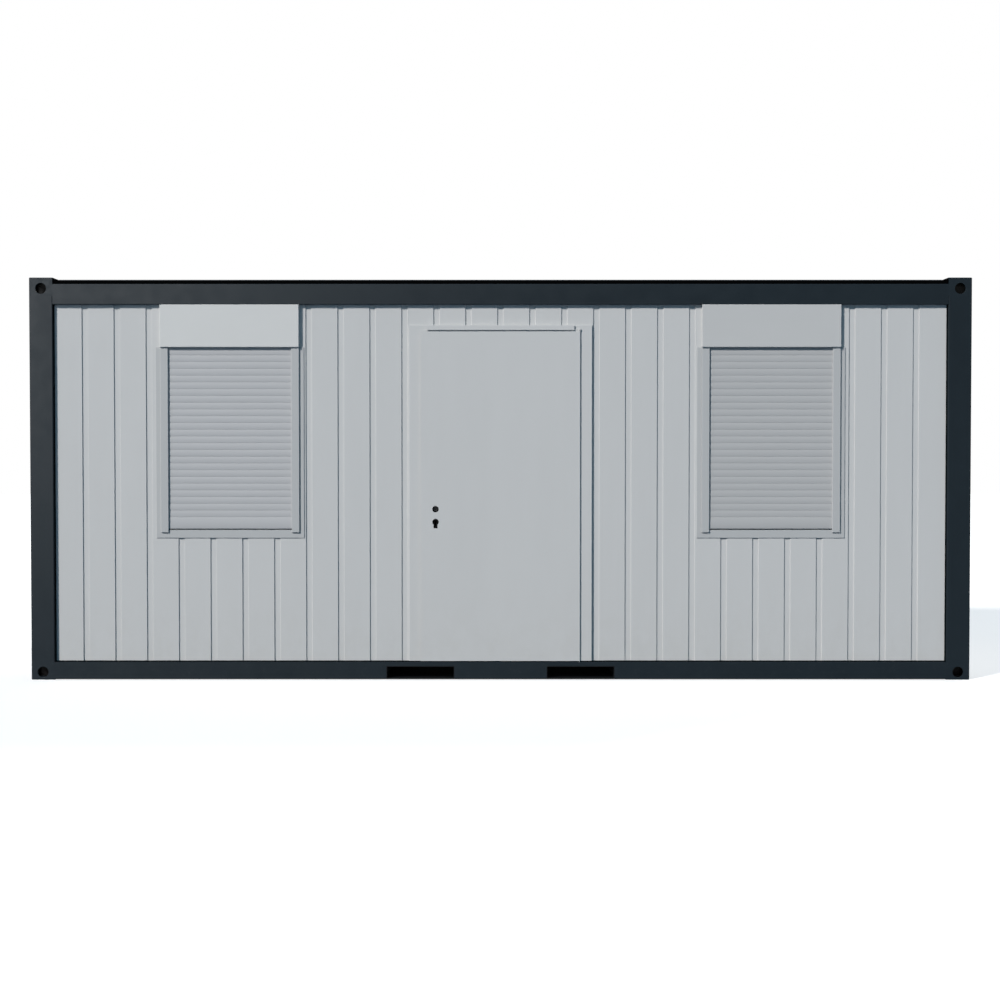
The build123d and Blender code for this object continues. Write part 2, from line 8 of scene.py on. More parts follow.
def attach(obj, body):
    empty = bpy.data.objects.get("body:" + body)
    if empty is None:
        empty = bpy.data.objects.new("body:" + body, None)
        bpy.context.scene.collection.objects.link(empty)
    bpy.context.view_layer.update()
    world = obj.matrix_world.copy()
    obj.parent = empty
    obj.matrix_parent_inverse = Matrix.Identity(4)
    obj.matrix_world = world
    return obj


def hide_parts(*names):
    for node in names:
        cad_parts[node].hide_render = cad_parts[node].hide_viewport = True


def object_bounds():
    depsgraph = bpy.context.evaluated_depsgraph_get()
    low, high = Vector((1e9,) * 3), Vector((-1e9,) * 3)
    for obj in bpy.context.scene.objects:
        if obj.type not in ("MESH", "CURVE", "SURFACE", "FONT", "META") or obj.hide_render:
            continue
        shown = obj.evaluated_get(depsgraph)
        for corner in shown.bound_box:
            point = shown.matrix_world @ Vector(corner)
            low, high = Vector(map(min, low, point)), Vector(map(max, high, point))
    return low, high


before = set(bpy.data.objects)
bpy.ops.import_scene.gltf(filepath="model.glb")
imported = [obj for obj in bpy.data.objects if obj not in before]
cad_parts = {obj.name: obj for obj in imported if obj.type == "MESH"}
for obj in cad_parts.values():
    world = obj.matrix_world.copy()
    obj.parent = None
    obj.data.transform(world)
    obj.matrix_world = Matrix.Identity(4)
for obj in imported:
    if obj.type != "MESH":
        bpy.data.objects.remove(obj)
cad_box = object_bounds()


# Corner fittings: eight hollow cast steel blocks with round holes in their faces and a slot
# above or below, for hooks and twist locks. They are welded to the posts and rails and
# sprayed with the same dark grey paint as the rest of the frame. Deep inside their hollows the
# colour turns near black, which is painted shade.

def tone(red, green, blue):
    """A paint colour picked on screen, as the shader wants it."""
    return [((value / 255 + 0.055) / 1.055) ** 2.4 for value in (red, green, blue)] + [1]


class Finish:
    """A material and the nodes that colour and roughen it."""

    def __init__(self, name, colour, roughness, metal=0.0, specular=0.5):
        self.material = bpy.data.materials.new(name)
        self.material.use_nodes = True
        self.nodes = self.material.node_tree.nodes
        self.links = self.material.node_tree.links
        self.shader = self.nodes["Principled BSDF"]
        self.place = self.nodes.new("ShaderNodeTexCoord").outputs["Object"]
        self.shader.inputs["Base Color"].default_value = colour
        self.shader.inputs["Roughness"].default_value = roughness
        self.shader.inputs["Metallic"].default_value = metal
        self.shader.inputs["Specular IOR Level"].default_value = specular
        self.colour = None
        self.flat_colour = colour
        self.height = None

    def spread(self, size, detail=3, stretch=(1, 1, 1), rough=0.5):
        """Soft noise whose patches are about this many metres across."""
        mapping = self.nodes.new("ShaderNodeMapping")
        mapping.inputs["Scale"].default_value = [1 / (size * part) for part in stretch]
        self.links.new(self.place, mapping.inputs["Vector"])
        noise = self.nodes.new("ShaderNodeTexNoise")
        noise.inputs["Scale"].default_value = 1
        noise.inputs["Detail"].default_value = detail
        noise.inputs["Roughness"].default_value = rough
        self.links.new(mapping.outputs["Vector"], noise.inputs["Vector"])
        return noise.outputs[0]

    def along(self, axis):
        """The distance along one axis, in metres."""
        split = self.nodes.new("ShaderNodeSeparateXYZ")
        self.links.new(self.place, split.inputs[0])
        return split.outputs[axis]

    def within(self, value, low, high, to_low=0.0, to_high=1.0):
        """A value taken from one range to another and held there."""
        ramp = self.nodes.new("ShaderNodeMapRange")
        ramp.interpolation_type = "SMOOTHSTEP"
        ramp.inputs["From Min"].default_value = low
        ramp.inputs["From Max"].default_value = high
        ramp.inputs["To Min"].default_value = to_low
        ramp.inputs["To Max"].default_value = to_high
        self.links.new(value, ramp.inputs["Value"])
        return ramp.outputs["Result"]

    def reckon(self, operation, *values):
        """The outcome of a sum on values, such as MULTIPLY or MINIMUM."""
        node = self.nodes.new("ShaderNodeMath")
        node.operation = operation
        for socket, value in zip(node.inputs, values):
            if isinstance(value, (int, float)):
                socket.default_value = value
            else:
                self.links.new(value, socket)
        return node.outputs[0]

    def times(self, first, second):
        """Two values multiplied."""
        return self.reckon("MULTIPLY", first, second)

    def depth_inside(self):
        """How far in a point lies from the cabin's nearest outer face, in metres."""
        nearest = 1.0
        for axis, (low, high) in enumerate(zip(*cad_box)):
            off_middle = self.reckon("SUBTRACT", self.along(axis), (low + high) / 2)
            off_middle = self.reckon("ABSOLUTE", off_middle)
            room = self.reckon("SUBTRACT", (high - low) / 2, off_middle)
            nearest = self.reckon("MINIMUM", nearest, room)
        return nearest

    def tint(self, factor, colour):
        """Lay another colour over the base where the factor is high."""
        mix = self.nodes.new("ShaderNodeMix")
        mix.data_type = "RGBA"
        self.links.new(factor, mix.inputs[0])
        if self.colour is None:
            mix.inputs[6].default_value = self.flat_colour
        else:
            self.links.new(self.colour, mix.inputs[6])
        mix.inputs[7].default_value = colour
        self.colour = mix.outputs[2]
        self.links.new(self.colour, self.shader.inputs["Base Color"])

    def roughen(self, factor, low, high):
        """Vary the gloss between two roughnesses."""
        self.links.new(self.within(factor, 0.3, 0.7, low, high), self.shader.inputs["Roughness"])

    def raise_by(self, factor, height):
        """Bump the surface by a height in metres where the factor is high."""
        bump = self.nodes.new("ShaderNodeBump")
        bump.inputs["Distance"].default_value = height
        bump.inputs["Strength"].default_value = 1
        self.links.new(factor, bump.inputs["Height"])
        if self.height is not None:
            self.links.new(self.height, bump.inputs["Normal"])
        self.height = bump.outputs["Normal"]
        self.links.new(self.height, self.shader.inputs["Normal"])


def merged_copy(node):
    """A CAD node's shape as one joined mesh, free to be rounded."""
    shape = bmesh.new()
    shape.from_mesh(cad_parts[node].data)
    bmesh.ops.remove_doubles(shape, verts=shape.verts, dist=0.00002)
    bmesh.ops.dissolve_limit(
        shape, angle_limit=math.radians(0.5), verts=shape.verts, edges=shape.edges
    )
    return shape


def round_edges(shape, width, segments, chosen):
    """Round the sharp edges that a test picks."""
    picked = []
    for edge in shape.edges:
        if len(edge.link_faces) == 2 and edge.calc_face_angle() > 0.3 and chosen(edge):
            picked.append(edge)
    bmesh.ops.bevel(
        shape, geom=picked, offset=width, offset_type="OFFSET", affect="EDGES",
        segments=segments, profile=0.5, material=-1, clamp_overlap=True,
    )


def put_in_place(shape, name, finish, body="cabin", stands_for=(), smooth=None):
    """Make the finished piece from its mesh, with its material, body and slot."""
    mesh = bpy.data.meshes.new(name)
    for face in shape.faces:
        face.smooth = smooth is not None
    shape.to_mesh(mesh)
    shape.free()
    if smooth is not None:
        mesh.set_sharp_from_angle(angle=math.radians(smooth))
    mesh.materials.append(finish.material)
    piece = bpy.data.objects.new(name, mesh)
    bpy.context.collection.objects.link(piece)
    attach(piece, body)
    if stands_for:
        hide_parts(*stands_for)
    return piece


HAIR = 0.0005


def outer_planes(edge):
    """The cabin's outermost planes that both ends of an edge lie on."""
    found = set()
    for axis in range(3):
        for corner in cad_box:
            if all(abs(vert.co[axis] - corner[axis]) < HAIR for vert in edge.verts):
                found.add((axis, corner[axis]))
    return found


FRAME_DARK = tone(12, 23, 30)
FRAME_LIGHTER = tone(17, 28, 35)
FRAME_DUST = tone(70, 74, 76)
DUST_TOP = 0.3
# Painted shade: a near black for the hollows inside the fittings, and the depths inside at which
# it sets in.
CAVITY_PAINTED_SHADE = tone(1, 2, 2)
PAINTED_SHADE_DEPTHS = (0.008, 0.013)
LONGEST_HOLE_EDGE = 0.1
HOLE_RADIUS = 0.002
CORNER_RADIUS = 0.005

frame_paint = Finish("frame_paint", FRAME_DARK, 0.42, specular=0.13)
frame_paint.tint(frame_paint.spread(0.35, 4), FRAME_LIGHTER)
dust = frame_paint.times(
    frame_paint.within(frame_paint.along(2), DUST_TOP, 0.0),
    frame_paint.within(frame_paint.spread(0.04, 6, rough=0.7), 0.5, 0.85),
)
frame_paint.tint(frame_paint.times(dust, 0.12), FRAME_DUST)
frame_paint.roughen(frame_paint.spread(0.12, 4), 0.38, 0.5)
frame_paint.raise_by(frame_paint.spread(0.0035, 2), 0.00005)

casting = Finish("cast_fitting_paint_and_shade", FRAME_DARK, 0.45, specular=0.13)
casting.tint(casting.spread(0.08, 4), FRAME_LIGHTER)
# Painted shade: deeper than about a centimetre inside the fittings the colour turns near black.
casting.tint(casting.within(casting.depth_inside(), *PAINTED_SHADE_DEPTHS), CAVITY_PAINTED_SHADE)
casting.roughen(casting.spread(0.03, 4), 0.4, 0.55)
casting.raise_by(casting.spread(0.006, 3, rough=0.6), 0.0002)

for node in ("corner_fittings_lower", "corner_fittings_upper"):
    blocks = merged_copy(node)
    round_edges(
        blocks, HOLE_RADIUS, 2,
        lambda edge: edge.calc_length() < LONGEST_HOLE_EDGE and len(outer_planes(edge)) == 1,
    )
    round_edges(blocks, CORNER_RADIUS, 3, lambda edge: len(outer_planes(edge)) > 1)
    put_in_place(blocks, node + "_cast", casting, stands_for=[node])


# Floor frame: square steel tubes welded between the lower fittings, with two flat tubes let
# through them from front to back for a forklift's forks. All of it is painted dark grey, and
# the fork tubes are scuffed and a little rusty inside. The tubes' colour is set blacker than the
# frame's, partly dark paint and partly painted shade for the inside of the tubes.
TUBE_RADIUS = 0.004
TUNNEL_BLACK_AND_SHADE = tone(8, 12, 15)
TUNNEL_WORN = tone(14, 18, 21)
TUNNEL_RUST = tone(52, 44, 38)


def wear(finish, *nodes):
    """Give CAD nodes this finish."""
    for node in nodes:
        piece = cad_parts[node]
        piece.data.materials.clear()
        piece.data.materials.append(finish.material)


def long_outer_edge(edge):
    """Whether an edge runs along the outside of a rail or post."""
    return edge.calc_length() > 1 and len(outer_planes(edge)) > 0


def eased_steel(node, radius=TUBE_RADIUS):
    """A painted steel piece with the rounded outer edges of rolled tube."""
    shape = merged_copy(node)
    round_edges(shape, radius, 3, long_outer_edge)
    put_in_place(shape, node + "_eased", frame_paint, stands_for=[node])


for side in ("front", "back", "left", "right"):
    eased_steel("floor_rail_" + side)

# Painted shade: the tubes' base is darker than the frame paint, standing in for the shade inside
# them; the scuffs and rust are real wear.
tunnel_paint_and_shade = Finish("fork_tunnel_paint", TUNNEL_BLACK_AND_SHADE, 0.6, specular=0.08)
tunnel_paint_and_shade.tint(tunnel_paint_and_shade.spread(0.2, 4), TUNNEL_WORN)
scuffs = tunnel_paint_and_shade.spread(0.03, 5, (1, 5, 1), 0.7)
tunnel_paint_and_shade.tint(tunnel_paint_and_shade.within(scuffs, 0.66, 0.8), TUNNEL_RUST)
tunnel_paint_and_shade.raise_by(tunnel_paint_and_shade.spread(0.004, 3), 0.0001)
wear(tunnel_paint_and_shade, "fork_tunnels")


# Cross members: folded steel tubes under the floor and over the ceiling, dipped in grey primer
# and welded between the long rails.
PRIMER = tone(112, 112, 108)
PRIMER_THIN = tone(92, 93, 90)

primer = Finish("grey_primer", PRIMER, 0.7, specular=0.3)
primer.tint(primer.spread(0.2, 5), PRIMER_THIN)
primer.raise_by(primer.spread(0.002, 2), 0.00008)
wear(primer, "floor_cross_members", "roof_cross_members")


# Underside and roof sheets: zinc-coated steel, its crystals showing as faint angular patches.
# The roof sheets are folded together into upright seams over the cross members.
ZINC = tone(128, 133, 136)
ZINC_CRYSTAL = tone(116, 121, 125)
ZINC_BLOOM = tone(146, 151, 154)
CRYSTALS_PER_METRE = 60
SEAM_TOP = 2.572
SEAM_RADIUS = 0.003

zinc = Finish("zinc_sheet", ZINC, 0.65, metal=0.3, specular=0.15)
crystals = zinc.nodes.new("ShaderNodeTexVoronoi")
crystals.inputs["Scale"].default_value = CRYSTALS_PER_METRE
zinc.links.new(zinc.place, crystals.inputs["Vector"])
zinc.tint(zinc.within(crystals.outputs["Color"], 0.2, 0.8), ZINC_CRYSTAL)
zinc.tint(zinc.times(zinc.within(zinc.spread(0.5, 5), 0.45, 0.75), 0.3), ZINC_BLOOM)
zinc.roughen(crystals.outputs["Color"], 0.6, 0.72)
wear(zinc, "underside_sheets")

roof = merged_copy("roof_sheet")
round_edges(
    roof, SEAM_RADIUS, 3,
    lambda edge: edge.calc_length() > 1
    and min(vert.co.z for vert in edge.verts) > SEAM_TOP - 2 * HAIR,
)
put_in_place(roof, "roof_sheet_seamed", zinc, stands_for=["roof_sheet"])


# Floor board: waterproof plywood screwed down on the cross members, covered with a sheet of
# grey vinyl that has dark and pale chips in it.
VINYL = tone(128, 132, 134)
CHIP_DARK = tone(106, 110, 113)
CHIP_PALE = tone(168, 170, 170)
CHIPS_PER_METRE = 260

vinyl = Finish("floor_vinyl", VINYL, 0.45, specular=0.4)
chips = vinyl.nodes.new("ShaderNodeTexVoronoi")
chips.inputs["Scale"].default_value = CHIPS_PER_METRE
vinyl.links.new(vinyl.place, chips.inputs["Vector"])
vinyl.tint(vinyl.within(chips.outputs["Color"], 0.55, 0.6), CHIP_DARK)
vinyl.tint(vinyl.times(vinyl.within(chips.outputs["Color"], 0.25, 0.2), 0.7), CHIP_PALE)
vinyl.raise_by(vinyl.spread(0.004, 3), 0.00005)
wear(vinyl, "floor_board")


# Corner posts: steel sheet folded into hollow L-shaped sections, welded between the lower and
# the upper fittings and painted with them.
for corner in ("front_left", "front_right", "back_left", "back_right"):
    eased_steel("corner_post_" + corner, CORNER_RADIUS)


# Roof frame: steel rails folded to a stepped section and welded between the upper fittings.
# Their skirts hang over the wall tops, so that rain drips off clear of the walls.
for side in ("front", "back", "left", "right"):
    eased_steel("roof_rail_" + side)


# Kerb: a black bitumen-coated strip round the roof, set back a little from the rails, which
# keeps the rain off the walls. A thin folded capping in the frame's paint covers its top edge.
# Its black is set darker than bitumen's own, as painted shade for the gap along the roof edge.
KERB_TOP = 2.576
KERB_DEPTH = (0.0055, 0.0185)
CAPPING = 0.0045
CAPPING_PROUD = 0.0005
CAPPING_SHORT = 0.195
KERB_BLACK_AND_SHADE = tone(2, 2, 3)
KERB_WORN = tone(6, 7, 8)
CABIN_SIDES = {"front": (0, 1.219, 3.029), "right": (90, 3.029, 1.219),
               "back": (180, 1.219, 3.029), "left": (270, 3.029, 1.219)}


def add_bar(shape, low, high):
    """Add a straight square-edged bar between two corners."""
    low, high = Vector(low), Vector(high)
    matrix = Matrix.Translation((low + high) / 2) @ Matrix.Diagonal((*(high - low), 1))
    return bmesh.ops.create_cube(shape, size=1, matrix=matrix)["verts"]


def turn_to_side(shape, verts, side):
    """Move points given as (along, depth, height) on to one side of the cabin."""
    turn, reach, _ = CABIN_SIDES[side]
    matrix = Matrix.Rotation(math.radians(turn), 4, "Z") @ Matrix.Translation((0, -reach, 0))
    bmesh.ops.transform(shape, matrix=matrix, verts=verts)


# Painted shade: the kerb's near-zero colour stands for the shade in the gap at the roof edge as
# well as the black bitumen.
kerb_coat_and_shade = Finish("kerb_coat_and_shade", KERB_BLACK_AND_SHADE, 0.8, specular=0.0)
kerb_coat_and_shade.tint(kerb_coat_and_shade.spread(0.05, 4), KERB_WORN)
kerb_coat_and_shade.raise_by(kerb_coat_and_shade.spread(0.006, 3), 0.0003)
wear(kerb_coat_and_shade, "roof_kerb")

capping = bmesh.new()
for side, (_, _, half) in CABIN_SIDES.items():
    end = half - CAPPING_SHORT
    strip = add_bar(
        capping, (-end, KERB_DEPTH[0], KERB_TOP - CAPPING),
        (end, KERB_DEPTH[1], KERB_TOP + CAPPING_PROUD),
    )
    turn_to_side(capping, strip, side)
put_in_place(capping, "kerb_capping", frame_paint)


# Walls: steel-faced insulated panels rolled with flat-bottomed grooves, coated light grey. Their
# bends are rolled to a small radius.
WALL_GREY = tone(190, 191, 191)
WALL_SHADE = tone(186, 187, 187)
WALL_SOIL = tone(174, 173, 169)
SPLASH_TOP = 0.7
BEND_REACH = 0.04
BEND = 0.0007

wall_paint = Finish("wall_coating", WALL_GREY, 0.5, specular=0.12)
wall_paint.tint(wall_paint.spread(0.4, 5, (0.35, 0.35, 1.6)), WALL_SHADE)
splash = wall_paint.times(
    wall_paint.within(wall_paint.along(2), SPLASH_TOP, 0.1),
    wall_paint.within(wall_paint.spread(0.12, 5, (1, 1, 1.4), 0.65), 0.35, 0.75),
)
wall_paint.tint(wall_paint.times(splash, 0.22), WALL_SOIL)
wall_paint.roughen(wall_paint.spread(0.2, 4), 0.44, 0.56)
wall_paint.raise_by(wall_paint.spread(0.3, 2, (1, 1, 2)), 0.0005)
wall_paint.raise_by(wall_paint.spread(0.003, 2), 0.00003)


def panel_bend(edge):
    """Whether an edge is one of a panel's long upright bends on its outer face."""
    first, second = (vert.co for vert in edge.verts)
    high = cad_box[1]
    deepest = max(min(high[0] - abs(end.x), high[1] - abs(end.y)) for end in (first, second))
    return abs(first.z - second.z) > 0.1 and deepest < BEND_REACH


for node in ("front_wall_left", "front_wall_right", "front_wall_over_door",
             "back_wall", "end_wall_left", "end_wall_right"):
    panel = merged_copy(node)
    round_edges(panel, BEND, 2, panel_bend)
    put_in_place(panel, node + "_rolled", wall_paint, stands_for=[node])


# Wall seals: strips of black rubber, pressed in where the panels meet the posts and the floor
# rail, which keep the rain out of the joint.
SEAL_WIDTH = 0.007
SEAL_DEPTH = (0.021, 0.0262)
WALL_BOTTOM = 0.115
WALL_TOP = 2.418
POST = 0.15
DOOR_HALF = 0.59
RUBBER = tone(6, 7, 8)
RUBBER_DUSTY = tone(11, 12, 13)

seal_rubber = Finish("seal_rubber", RUBBER, 0.8, specular=0.02)
seal_rubber.tint(seal_rubber.spread(0.02, 4), RUBBER_DUSTY)
seal_rubber.raise_by(seal_rubber.spread(0.002, 2), 0.0001)

edge_seals = bmesh.new()
for side, (_, _, half) in CABIN_SIDES.items():
    end = half - POST
    strips = []
    for sign in (-1, 1):
        sides = sorted((sign * end, sign * (end - SEAL_WIDTH)))
        strips += add_bar(
            edge_seals, (sides[0], SEAL_DEPTH[0], WALL_BOTTOM), (sides[1], SEAL_DEPTH[1], WALL_TOP)
        )
    runs = [(-end, -DOOR_HALF), (DOOR_HALF, end)] if side == "front" else [(-end, end)]
    for low, high in runs:
        strips += add_bar(
            edge_seals, (low, SEAL_DEPTH[0], WALL_BOTTOM),
            (high, SEAL_DEPTH[1], WALL_BOTTOM + SEAL_WIDTH),
        )
    turn_to_side(edge_seals, strips, side)
put_in_place(edge_seals, "wall_edge_seals", seal_rubber)


# Linings and ceiling: white faced chipboard on the room side of the walls and under the roof,
# its joints covered by thin white strips and its foot by a grey plastic skirting.
ROOM = (2.921, 1.111)
FLOOR_TOP = 0.125
CEILING = 2.461
SKIRTING = (0.008, 0.06)
SKIRTING_RADIUS = 0.003
STRIP = (0.028, 0.002)
FRONT_JOINTS = (-2.56, -0.93, 0.93, 2.56)
BACK_JOINTS = (-2.4, -1.2, 0, 1.2, 2.4)
END_JOINTS = (-0.55, 0.55)
BOARD_WHITE = tone(224, 224, 219)
BOARD_AGED = tone(216, 216, 210)
SKIRTING_GREY = tone(120, 123, 126)
SKIRTING_DARKER = tone(112, 115, 118)

lining = Finish("white_board", BOARD_WHITE, 0.55, specular=0.3)
lining.tint(lining.spread(0.3, 5), BOARD_AGED)
lining.raise_by(lining.spread(0.0025, 3), 0.00006)
wear(lining, "front_lining", "back_lining", "end_linings", "ceiling_panel")

skirting_plastic = Finish("skirting_plastic", SKIRTING_GREY, 0.4, specular=0.35)
skirting_plastic.tint(skirting_plastic.spread(0.1, 4), SKIRTING_DARKER)
skirting_plastic.raise_by(skirting_plastic.spread(0.003, 2), 0.00003)

cover_strips = bmesh.new()
for joints, wall in ((FRONT_JOINTS, -1), (BACK_JOINTS, 1)):
    for x in joints:
        y = sorted((wall * ROOM[1], wall * (ROOM[1] - STRIP[1])))
        add_bar(
            cover_strips, (x - STRIP[0] / 2, y[0], FLOOR_TOP + SKIRTING[1]),
            (x + STRIP[0] / 2, y[1], CEILING),
        )
for wall in (-1, 1):
    for y in END_JOINTS:
        x = sorted((wall * ROOM[0], wall * (ROOM[0] - STRIP[1])))
        add_bar(
            cover_strips, (x[0], y - STRIP[0] / 2, FLOOR_TOP + SKIRTING[1]),
            (x[1], y + STRIP[0] / 2, CEILING),
        )
for x in BACK_JOINTS:
    add_bar(
        cover_strips, (x - STRIP[0] / 2, -ROOM[1], CEILING - STRIP[1]),
        (x + STRIP[0] / 2, ROOM[1], CEILING),
    )
put_in_place(cover_strips, "lining_cover_strips", lining)

skirting = bmesh.new()
top = FLOOR_TOP + SKIRTING[1]
add_bar(skirting, (-ROOM[0], ROOM[1] - SKIRTING[0], FLOOR_TOP), (ROOM[0], ROOM[1], top))
for sign in (-1, 1):
    x = sorted((sign * ROOM[0], sign * (ROOM[0] - SKIRTING[0])))
    add_bar(skirting, (x[0], -ROOM[1], FLOOR_TOP), (x[1], ROOM[1] - SKIRTING[0], top))
    x = sorted((sign * (ROOM[0] - SKIRTING[0]), sign * DOOR_HALF))
    add_bar(skirting, (x[0], -ROOM[1], FLOOR_TOP), (x[1], SKIRTING[0] - ROOM[1], top))
round_edges(
    skirting, SKIRTING_RADIUS, 2,
    lambda edge: edge.calc_length() > 1
    and all(vert.co.z > top - 2 * HAIR for vert in edge.verts),
)
put_in_place(skirting, "skirting", skirting_plastic)


# Doorway: a pressed steel frame screwed into the wall, with a rubber seal on its step, an angle
# drip strip over the leaf and two short pins for it to turn on. A ribbed metal strip covers the
# threshold and a steel plate on the left takes the lock's bolts.
FRONT = -1.219
FRAME_FACE = 0.016
FRAME_RADIUS = 0.002
JAMB = 0.49
STRIKE_Z = (0.935, 1.165)
STRIKE_THICK = 0.0015
STRIKE_RADIUS = 0.004
LOCK_DEPTH = (0.027, 0.047)
THRESHOLD = (0.072, 0.106)
THRESHOLD_HALF = 0.469
RIB = 0.0016
RIB_WIDTH = 0.002
RIB_PITCH = 0.005
RIB_MARGIN = 0.004
RIBS = 6
SILL_SEAL = (0.0015, 0.0065)
STEEL_BRIGHT = tone(150, 151, 153)
STEEL_DULL = tone(128, 129, 132)

wear(wall_paint, "door_drip_strip", "door_pivots")
wear(seal_rubber, "door_seal")

sill_seal = bmesh.new()
add_bar(
    sill_seal, (-DOOR_HALF, FRONT + FRAME_FACE - SILL_SEAL[0], WALL_BOTTOM),
    (DOOR_HALF, FRONT + FRAME_FACE, WALL_BOTTOM + SILL_SEAL[1]),
)
put_in_place(sill_seal, "door_sill_seal", seal_rubber)

door_frame = merged_copy("door_frame")
round_edges(
    door_frame, FRAME_RADIUS, 2,
    lambda edge: edge.calc_length() > 0.5
    and all(vert.co.y < FRONT + FRAME_FACE + 2 * HAIR for vert in edge.verts),
)
put_in_place(door_frame, "door_frame_pressed", wall_paint, stands_for=["door_frame"])

lock_steel = Finish("lock_steel", STEEL_BRIGHT, 0.38, metal=0.9)
lock_steel.tint(lock_steel.spread(0.01, 4, (1, 1, 3)), STEEL_DULL)
lock_steel.raise_by(lock_steel.spread(0.001, 2), 0.00002)

strike = bmesh.new()
add_bar(
    strike, (-JAMB, FRONT + LOCK_DEPTH[0], STRIKE_Z[0]),
    (STRIKE_THICK - JAMB, FRONT + LOCK_DEPTH[1], STRIKE_Z[1]),
)
round_edges(strike, STRIKE_RADIUS, 3, lambda edge: edge.calc_length() < STRIKE_THICK + HAIR)
put_in_place(strike, "strike_plate", lock_steel)

threshold = bmesh.new()
add_bar(
    threshold, (-THRESHOLD_HALF, FRONT + THRESHOLD[0], FLOOR_TOP),
    (THRESHOLD_HALF, FRONT + THRESHOLD[1], FLOOR_TOP + RIB),
)
for number in range(RIBS):
    depth = THRESHOLD[0] + RIB_MARGIN + number * RIB_PITCH
    add_bar(
        threshold, (-THRESHOLD_HALF, FRONT + depth, FLOOR_TOP + RIB),
        (THRESHOLD_HALF, FRONT + depth + RIB_WIDTH, FLOOR_TOP + 2 * RIB),
    )
put_in_place(threshold, "threshold_strip", lock_steel)


# Door leaf: two pressed steel skins over insulation, painted as the walls, with a thin lip that
# closes over the frame. Its lock is let into the edge; only the hole of the spindle and the
# shaped hole of the cylinder show, because no handle is fitted. The lock case behind them is
# coloured near black as painted shade for the dark inside of the holes.
LIP_FACE = 0.006
LIP_RADIUS = 0.003
LEAF_BACK = 0.064
BACK_RADIUS = 0.002
HOLE_RIM = 0.0008
LOCK_X = -0.419
HANDLE_Z = 1.102
LOCK_FACE = 0.029
LOCK_MIDDLE = 0.037
LEAF_EDGE = -0.484
FOREND_BACK = -0.4806
FOREND = tone(104, 105, 107)
CASE_SHADE_BLACK = tone(7, 7, 8)
CASE_DUSTY = tone(12, 12, 13)
BOLTS = ((1.102, 0.016, 0.006), (1.019, 0.018, 0.005))
BOLT_PROUD = 0.0015
BOLT_RADIUS = 0.0008
FOLLOWER = (0.0068, 0.0115)
FOLLOWER_THICK = 0.0012
FOLLOWER_STEEL = tone(58, 59, 61)
FOLLOWER_OILY = tone(44, 45, 47)

leaf = merged_copy("door_leaf")
round_edges(
    leaf, HOLE_RIM, 1,
    lambda edge: edge.calc_length() < 0.05
    and all(vert.co.y < FRONT + LIP_FACE + HAIR for vert in edge.verts),
)
round_edges(
    leaf, LIP_RADIUS, 3,
    lambda edge: edge.calc_length() > 0.5
    and all(vert.co.y < FRONT + LIP_FACE + HAIR for vert in edge.verts),
)
round_edges(
    leaf, BACK_RADIUS, 2,
    lambda edge: edge.calc_length() > 0.5
    and all(vert.co.y > FRONT + LEAF_BACK - HAIR for vert in edge.verts),
)
put_in_place(leaf, "door_leaf_pressed", wall_paint, "door", ["door_leaf"])

# Painted shade: the lock case is near black to stand in for the shade inside the holes; only its
# forend at the leaf's edge keeps a steel colour.
lock_case_shade_and_forend = Finish("lock_case_painted_shade", CASE_SHADE_BLACK, 0.6, specular=0.08)
lock_case_shade_and_forend.tint(lock_case_shade_and_forend.spread(0.01, 4), CASE_DUSTY)
lock_case_shade_and_forend.tint(lock_case_shade_and_forend.within(lock_case_shade_and_forend.along(0), FOREND_BACK, FOREND_BACK - 0.0004), FOREND)
lock_case_shade_and_forend.raise_by(lock_case_shade_and_forend.spread(0.001, 2), 0.00002)
wear(lock_case_shade_and_forend, "door_lock")

bolts = bmesh.new()
for middle, half_height, half_width in BOLTS:
    add_bar(
        bolts, (LEAF_EDGE - BOLT_PROUD, FRONT + LOCK_MIDDLE - half_width, middle - half_height),
        (LEAF_EDGE, FRONT + LOCK_MIDDLE + half_width, middle + half_height),
    )
round_edges(
    bolts, BOLT_RADIUS, 2,
    lambda edge: any(vert.co.x < LEAF_EDGE - 2 * HAIR for vert in edge.verts),
)
put_in_place(bolts, "lock_bolts", lock_steel, "door")

follower = bmesh.new()
inner = bmesh.ops.create_circle(follower, segments=32, radius=FOLLOWER[0])["verts"]
ring = [edge for edge in follower.edges if all(vert in inner for vert in edge.verts)]
wide = bmesh.ops.extrude_edge_only(follower, edges=ring)["geom"]
wide = [item for item in wide if isinstance(item, bmesh.types.BMVert)]
bmesh.ops.scale(follower, vec=(FOLLOWER[1] / FOLLOWER[0],) * 2 + (1,), verts=wide)
bmesh.ops.solidify(follower, geom=follower.faces[:], thickness=FOLLOWER_THICK)
bmesh.ops.recalc_face_normals(follower, faces=follower.faces)
stand = Matrix.Translation((LOCK_X, FRONT + LOCK_FACE - FOLLOWER_THICK / 2, HANDLE_Z))
bmesh.ops.transform(
    follower, matrix=stand @ Matrix.Rotation(math.pi / 2, 4, "X"), verts=follower.verts
)
follower_steel = Finish("follower_steel", FOLLOWER_STEEL, 0.5, metal=0.4, specular=0.3)
follower_steel.tint(follower_steel.spread(0.004, 3), FOLLOWER_OILY)
put_in_place(follower, "lock_follower", follower_steel, "door", smooth=40)


